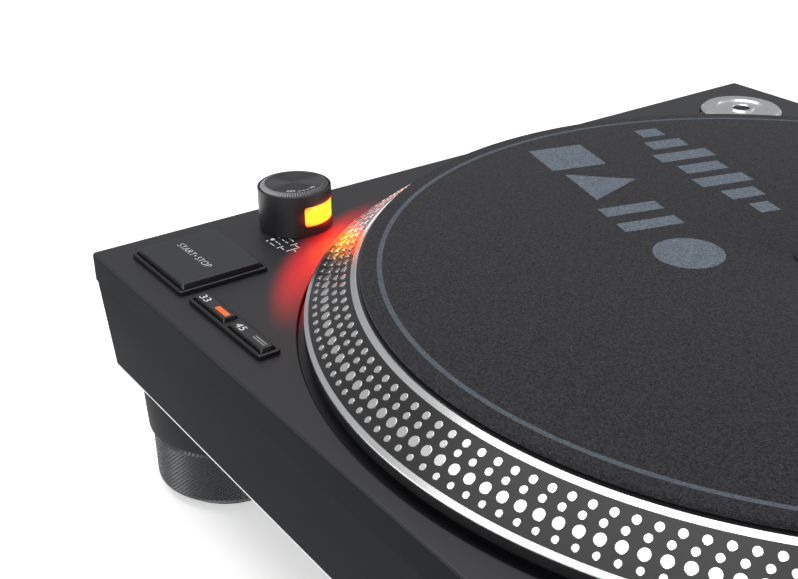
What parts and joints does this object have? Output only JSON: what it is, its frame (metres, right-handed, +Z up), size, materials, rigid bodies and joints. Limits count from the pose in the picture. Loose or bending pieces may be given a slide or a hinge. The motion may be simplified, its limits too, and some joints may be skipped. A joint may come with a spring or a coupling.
{
  "type": "turntable record player",
  "caption": "Direct-drive record player: black cabinet, strobe-dotted platter with felt mat, S-shaped tonearm, pitch fader, dial and keys.",
  "frame": {"origin": "on the floor, under the middle of the cabinet's outline", "axes": "+Z up; +Y from the keys at the front to the sockets at the rear; +X from the start key to the tonearm, along the cabinet's long side"},
  "size_m": [0.453, 0.353, 0.1515],
  "materials": {
    "deck_paint": "satin black paint on cast aluminium",
    "base_black": "moulded heavy rubber compound, satin black",
    "foot_rubber": "matt rubber",
    "black_plastic": "satin black plastic",
    "cast_aluminium": "diamond-cut aluminium, black between the strobe dots",
    "arm_aluminium": "satin aluminium",
    "steel": "plain steel",
    "chrome": "polished",
    "felt": "grey-black felt with a pale printed ring",
    "circuit_board": "green circuit board",
    "copper": "copper windings",
    "strobe_lens": "red window, lit from inside"
  },
  "bodies": {
    "cabinet": {"top_cabinet": "deck_paint", "base_cabinet": "base_black", "foot_collar_front_left": "foot_rubber", "foot_collar_front_right": "foot_rubber", "foot_collar_rear_left": "foot_rubber", "foot_collar_rear_right": "foot_rubber", "spindle_bearing": "steel", "motor_stator": "copper", "start_stop_bezel": "black_plastic", "speed_key_bezel": "black_plastic", "key_circuit_board": "circuit_board", "dial_housing": "black_plastic", "strobe_window": "strobe_lens", "main_circuit_board": "circuit_board", "power_supply": "steel", "pitch_plate": "black_plastic", "pitch_fader_track": "steel", "tonearm_base": "arm_aluminium", "arm_rest": "black_plastic", "mains_inlet": "black_plastic", "phono_sockets": "steel"},
    "platter": {"platter": "cast_aluminium", "rotor_magnet": "steel", "spindle": "chrome"},
    "slipmat": {"slipmat": "felt"},
    "start_stop_button": {"start_stop_button": "black_plastic"},
    "speed_button_33": {"speed_button_33": "black_plastic"},
    "speed_button_45": {"speed_button_45": "black_plastic"},
    "pitch_reset_button": {"pitch_reset_button": "black_plastic"},
    "lamp_button": {"lamp_button": "arm_aluminium"},
    "stylus_lamp": {"stylus_lamp": "arm_aluminium"},
    "power_dial": {"power_dial": "black_plastic"},
    "pitch_fader_knob": {"pitch_fader_knob": "black_plastic"},
    "adapter_45": {"adapter_45": "arm_aluminium"},
    "height_ring": {"height_ring": "black_plastic"},
    "arm_column": {"arm_column": "arm_aluminium"},
    "anti_skate_dial": {"anti_skate_dial": "black_plastic"},
    "cue_lever": {"cue_lever": "black_plastic"},
    "lift_bar": {"lift_bar": "black_plastic"},
    "gimbal_frame": {"gimbal_frame": "arm_aluminium"},
    "tonearm": {"arm_pivot_block": "arm_aluminium", "arm_tube": "arm_aluminium", "headshell": "arm_aluminium", "cartridge": "black_plastic", "stylus": "steel"},
    "headshell_collar": {"headshell_collar": "arm_aluminium"},
    "counterweight": {"counterweight": "steel"},
    "tracking_force_ring": {"tracking_force_ring": "black_plastic"},
    "arm_clip": {"arm_clip": "black_plastic"},
    "ground_terminal": {"ground_terminal": "steel"},
    "foot_front_left": {"foot_ring_front_left": "black_plastic", "foot_pad_front_left": "foot_rubber"},
    "foot_front_right": {"foot_ring_front_right": "black_plastic", "foot_pad_front_right": "foot_rubber"},
    "foot_rear_left": {"foot_ring_rear_left": "black_plastic", "foot_pad_rear_left": "foot_rubber"},
    "foot_rear_right": {"foot_ring_rear_right": "black_plastic", "foot_pad_rear_right": "foot_rubber"}
  },
  "joints": [
    {"name": "platter_spin", "type": "hinge", "parent": "cabinet", "child": "platter", "pos_m": [-0.0411, -0.0016, 0.092], "axis": [0, 0, -1], "continuous": true},
    {"name": "slipmat_slip", "type": "hinge", "parent": "platter", "child": "slipmat", "pos_m": [-0.0411, -0.0016, 0.1092], "axis": [0, 0, -1], "continuous": true},
    {"name": "start_stop_press", "type": "slide", "parent": "cabinet", "child": "start_stop_button", "axis": [0, 0, -1], "range_m": [0, 0.001], "stiffness_N_per_m": 300, "springref_m": -0.0015},
    {"name": "speed_33_press", "type": "slide", "parent": "cabinet", "child": "speed_button_33", "axis": [0, 0, -1], "range_m": [0, 0.001], "stiffness_N_per_m": 300, "springref_m": -0.0015},
    {"name": "speed_45_press", "type": "slide", "parent": "cabinet", "child": "speed_button_45", "axis": [0, 0, -1], "range_m": [0, 0.001], "stiffness_N_per_m": 300, "springref_m": -0.0015},
    {"name": "pitch_reset_press", "type": "slide", "parent": "cabinet", "child": "pitch_reset_button", "axis": [0, 0, -1], "range_m": [0, 0.001], "stiffness_N_per_m": 300, "springref_m": -0.0015},
    {"name": "lamp_button_press", "type": "slide", "parent": "cabinet", "child": "lamp_button", "axis": [0, 0, -1], "range_m": [0, 0.001], "stiffness_N_per_m": 300, "springref_m": -0.0015},
    {"name": "stylus_lamp_rise", "type": "slide", "parent": "cabinet", "child": "stylus_lamp", "axis": [0, 0, 1], "range_m": [0, 0.02]},
    {"name": "power_dial_turn", "type": "hinge", "parent": "cabinet", "child": "power_dial", "pos_m": [-0.2037, -0.1012, 0.1088], "axis": [0, 0, 1], "range_deg": [0, 60]},
    {"name": "pitch_fader_slide", "type": "slide", "parent": "cabinet", "child": "pitch_fader_knob", "axis": [0, -1, 0], "range_m": [-0.05, 0.05]},
    {"name": "adapter_45_lift", "type": "slide", "parent": "cabinet", "child": "adapter_45", "axis": [0, 0, 1], "range_m": [0, 0.03]},
    {"name": "height_ring_turn", "type": "hinge", "parent": "cabinet", "child": "height_ring", "pos_m": [0.14847, 0.10047, 0.102], "axis": [0, 0, 1], "range_deg": [0, 300]},
    {"name": "arm_height_rise", "type": "slide", "parent": "cabinet", "child": "arm_column", "axis": [0, 0, 1], "range_m": [0, 0.006]},
    {"name": "anti_skate_turn", "type": "hinge", "parent": "arm_column", "child": "anti_skate_dial", "pos_m": [0.16547, 0.11347, 0.1125], "axis": [0, 0, 1], "range_deg": [0, 300]},
    {"name": "cue_lever_lower", "type": "hinge", "parent": "arm_column", "child": "cue_lever", "pos_m": [0.17327, 0.09047, 0.116], "axis": [1, 0, 0], "range_deg": [0, 45]},
    {"name": "lift_bar_lower", "type": "slide", "parent": "arm_column", "child": "lift_bar", "axis": [0, 0, -1], "range_m": [0, 0.003]},
    {"name": "arm_swing", "type": "hinge", "parent": "arm_column", "child": "gimbal_frame", "pos_m": [0.14847, 0.10047, 0.132], "axis": [0, 0, 1], "range_deg": [-48, 0]},
    {"name": "arm_lift", "type": "hinge", "parent": "gimbal_frame", "child": "tonearm", "pos_m": [0.14847, 0.10047, 0.132], "axis": [-1, 0, 0], "range_deg": [0, 13]},
    {"name": "headshell_collar_turn", "type": "hinge", "parent": "tonearm", "child": "headshell_collar", "pos_m": [0.16532, -0.08781, 0.132], "axis": [-0.3746, -0.9272, 0], "range_deg": [0, 60]},
    {"name": "counterweight_turn", "type": "hinge", "parent": "tonearm", "child": "counterweight", "pos_m": [0.14847, 0.13747, 0.132], "axis": [0, 1, 0], "continuous": true},
    {"name": "tracking_force_ring_turn", "type": "hinge", "parent": "counterweight", "child": "tracking_force_ring", "pos_m": [0.14847, 0.13447, 0.132], "axis": [0, 1, 0], "continuous": true},
    {"name": "arm_clip_close", "type": "hinge", "parent": "cabinet", "child": "arm_clip", "pos_m": [0.15512, 0.03847, 0.1385], "axis": [0, 1, 0], "range_deg": [-90, 0]},
    {"name": "ground_terminal_turn", "type": "hinge", "parent": "cabinet", "child": "ground_terminal", "pos_m": [0.1565, 0.1665, 0.063], "axis": [0, 1, 0], "continuous": true},
    {"name": "foot_front_left_turn", "type": "hinge", "parent": "cabinet", "child": "foot_front_left", "pos_m": [-0.1919, -0.1432, 0.015], "axis": [0, 0, 1], "range_deg": [-180, 180]},
    {"name": "foot_front_right_turn", "type": "hinge", "parent": "cabinet", "child": "foot_front_right", "pos_m": [0.1919, -0.1432, 0.015], "axis": [0, 0, 1], "range_deg": [-180, 180]},
    {"name": "foot_rear_left_turn", "type": "hinge", "parent": "cabinet", "child": "foot_rear_left", "pos_m": [-0.1919, 0.1432, 0.015], "axis": [0, 0, 1], "range_deg": [-180, 180]},
    {"name": "foot_rear_right_turn", "type": "hinge", "parent": "cabinet", "child": "foot_rear_right", "pos_m": [0.1919, 0.1432, 0.015], "axis": [0, 0, 1], "range_deg": [-180, 180]}
  ],
  "couplings": [
    {"joint": "height_ring_turn", "follows": "arm_height_rise", "rad_per_m": 872.66},
    {"joint": "cue_lever_lower", "follows": "lift_bar_lower", "rad_per_m": 261.8}
  ]
}
